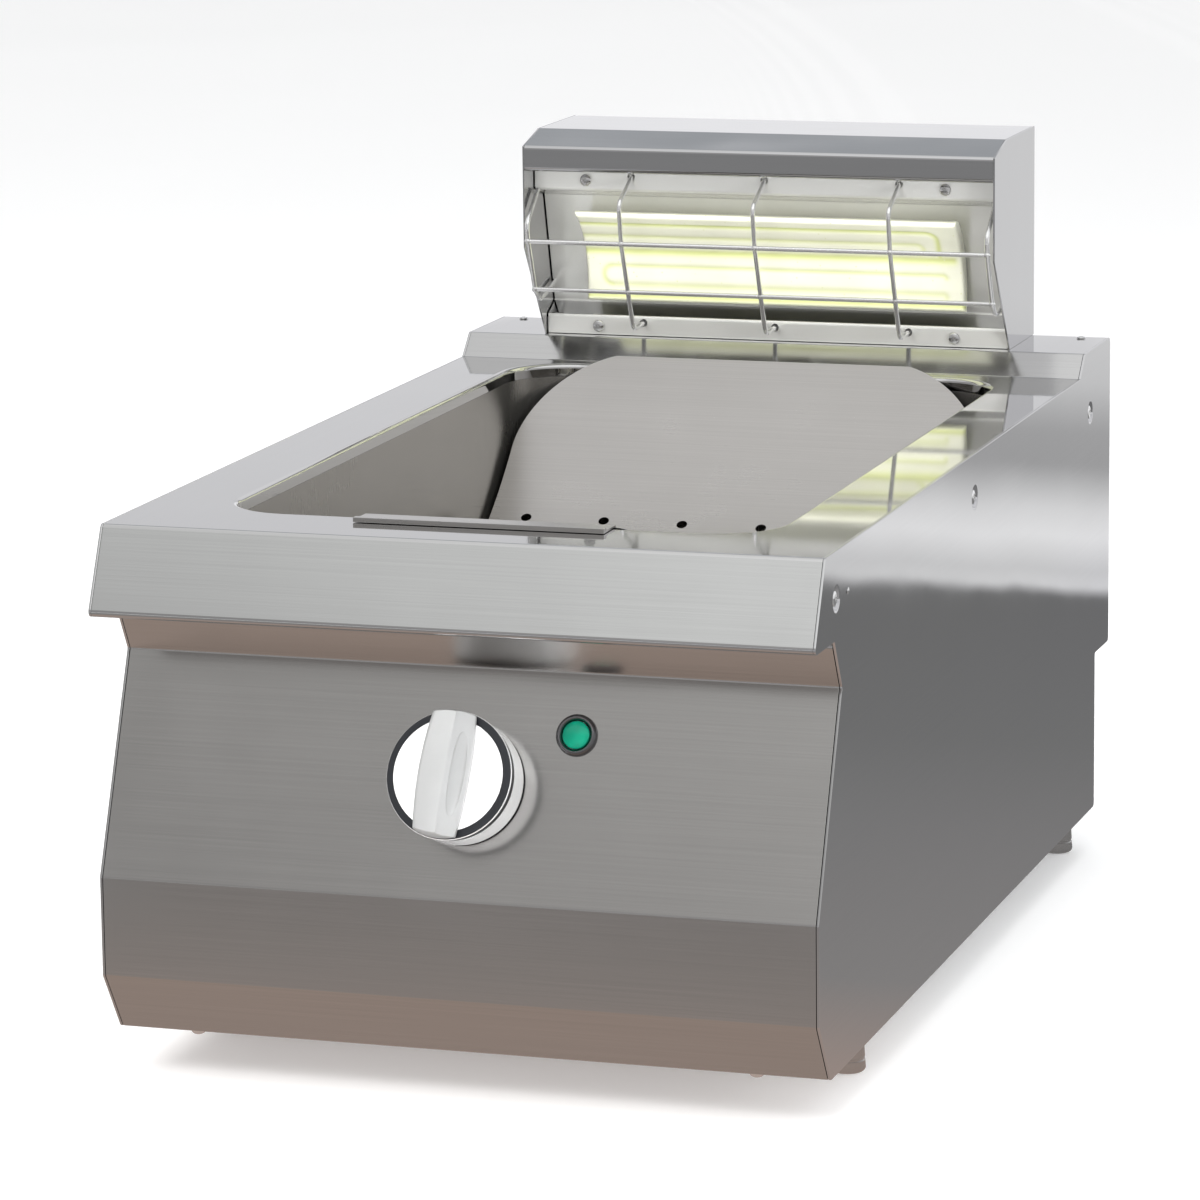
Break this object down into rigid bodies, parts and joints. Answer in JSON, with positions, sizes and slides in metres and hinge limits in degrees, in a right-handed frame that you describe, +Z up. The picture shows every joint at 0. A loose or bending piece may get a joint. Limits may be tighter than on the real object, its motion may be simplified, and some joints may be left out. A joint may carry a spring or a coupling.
{
  "type": "chip warmer",
  "caption": "Countertop chip warmer: steel box with a deep well, lift-out pierced chute, and a ceramic heater in a rear hood behind a wire guard.",
  "frame": {"origin": "on the floor that the feet stand on, under the middle of the whole object's box", "axes": "+Z up, +Y to the hood at the back, +X to the right seen from the front"},
  "size_m": [0.4014, 0.721, 0.45],
  "materials": {
    "body_steel": "half-bright brushed stainless steel",
    "fascia_steel": "brushed stainless steel, grain across",
    "well_steel": "drawn stainless steel, satin",
    "insert_steel": "light satin stainless steel",
    "hood_steel": "brushed stainless steel",
    "plain_steel": "plain steel",
    "reflector": "polished steel",
    "ceramic": "opaque pale yellow-green glaze",
    "bright_wire": "bright wire",
    "screws": "bright steel",
    "foot_steel": "turned steel",
    "knob_black": "glossy black",
    "knob_white": "smooth white",
    "knob_silver": "silver-grey paint",
    "lamp_bezel": "dark chrome",
    "lamp_green": "clear green",
    "grey_plastic": "moulded",
    "black_plastic": "moulded",
    "rubber": "matt",
    "cream_plastic": "moulded",
    "glass_sleeve": "woven sleeve"
  },
  "bodies": {
    "body": {"left_side_panel": "body_steel", "right_side_panel": "body_steel", "worktop": "body_steel", "front_fascia": "fascia_steel", "well": "well_steel", "hood_shell": "hood_steel", "hood_left_cheek": "hood_steel", "hood_right_cheek": "hood_steel", "base_plate": "plain_steel", "back_panel": "plain_steel", "hood_floor": "plain_steel", "heater_clip": "plain_steel", "switch_nut": "plain_steel", "foot_nut_front_left": "plain_steel", "foot_nut_front_right": "plain_steel", "foot_nut_rear_left": "plain_steel", "foot_nut_rear_right": "plain_steel", "reflector": "reflector", "ceramic_heater": "ceramic", "wire_guard": "bright_wire", "hood_screw_upper_left": "screws", "hood_screw_upper_right": "screws", "hood_screw_lower_left": "screws", "hood_screw_lower_right": "screws", "side_screw_left_front": "screws", "side_screw_left_middle": "screws", "side_screw_left_rear": "screws", "side_screw_right_front": "screws", "side_screw_right_middle": "screws", "side_screw_right_rear": "screws", "toe_screw_left": "screws", "toe_screw_right": "screws", "upstand_screw_left": "screws", "upstand_screw_right": "screws", "side_rivet_left": "screws", "side_rivet_right": "screws", "lamp_bezel": "lamp_bezel", "lamp_lens": "lamp_green", "rotary_switch": "grey_plastic", "lamp_body": "grey_plastic", "lamp_nut": "grey_plastic", "cable_gland": "black_plastic", "gland_nut": "black_plastic", "lead_grommet": "rubber", "terminal_block": "cream_plastic", "heater_lead": "glass_sleeve"},
    "knob": {"knob_skirt": "knob_black", "knob_face": "knob_white", "knob_grip": "knob_silver", "switch_spindle": "plain_steel"},
    "insert": {"chute_insert": "insert_steel"},
    "foot_front_left": {"foot_front_left": "foot_steel"},
    "foot_front_right": {"foot_front_right": "foot_steel"},
    "foot_rear_left": {"foot_rear_left": "foot_steel"},
    "foot_rear_right": {"foot_rear_right": "foot_steel"}
  },
  "joints": [
    {"name": "knob_turn", "type": "hinge", "parent": "body", "child": "knob", "pos_m": [0, -0.30925, 0.173], "axis": [0, 0.9254, -0.3789], "range_deg": [0, 300]},
    {"name": "insert_tilt", "type": "hinge", "parent": "body", "child": "insert", "pos_m": [0, 0.26662, 0.3105], "axis": [-1, 0, 0], "range_deg": [0, 25]},
    {"name": "foot_front_left_screw", "type": "slide", "parent": "body", "child": "foot_front_left", "axis": [0, 0, -1], "range_m": [0, 0.012]},
    {"name": "foot_front_right_screw", "type": "slide", "parent": "body", "child": "foot_front_right", "axis": [0, 0, -1], "range_m": [0, 0.012]},
    {"name": "foot_rear_left_screw", "type": "slide", "parent": "body", "child": "foot_rear_left", "axis": [0, 0, -1], "range_m": [0, 0.012]},
    {"name": "foot_rear_right_screw", "type": "slide", "parent": "body", "child": "foot_rear_right", "axis": [0, 0, -1], "range_m": [0, 0.012]}
  ]
}
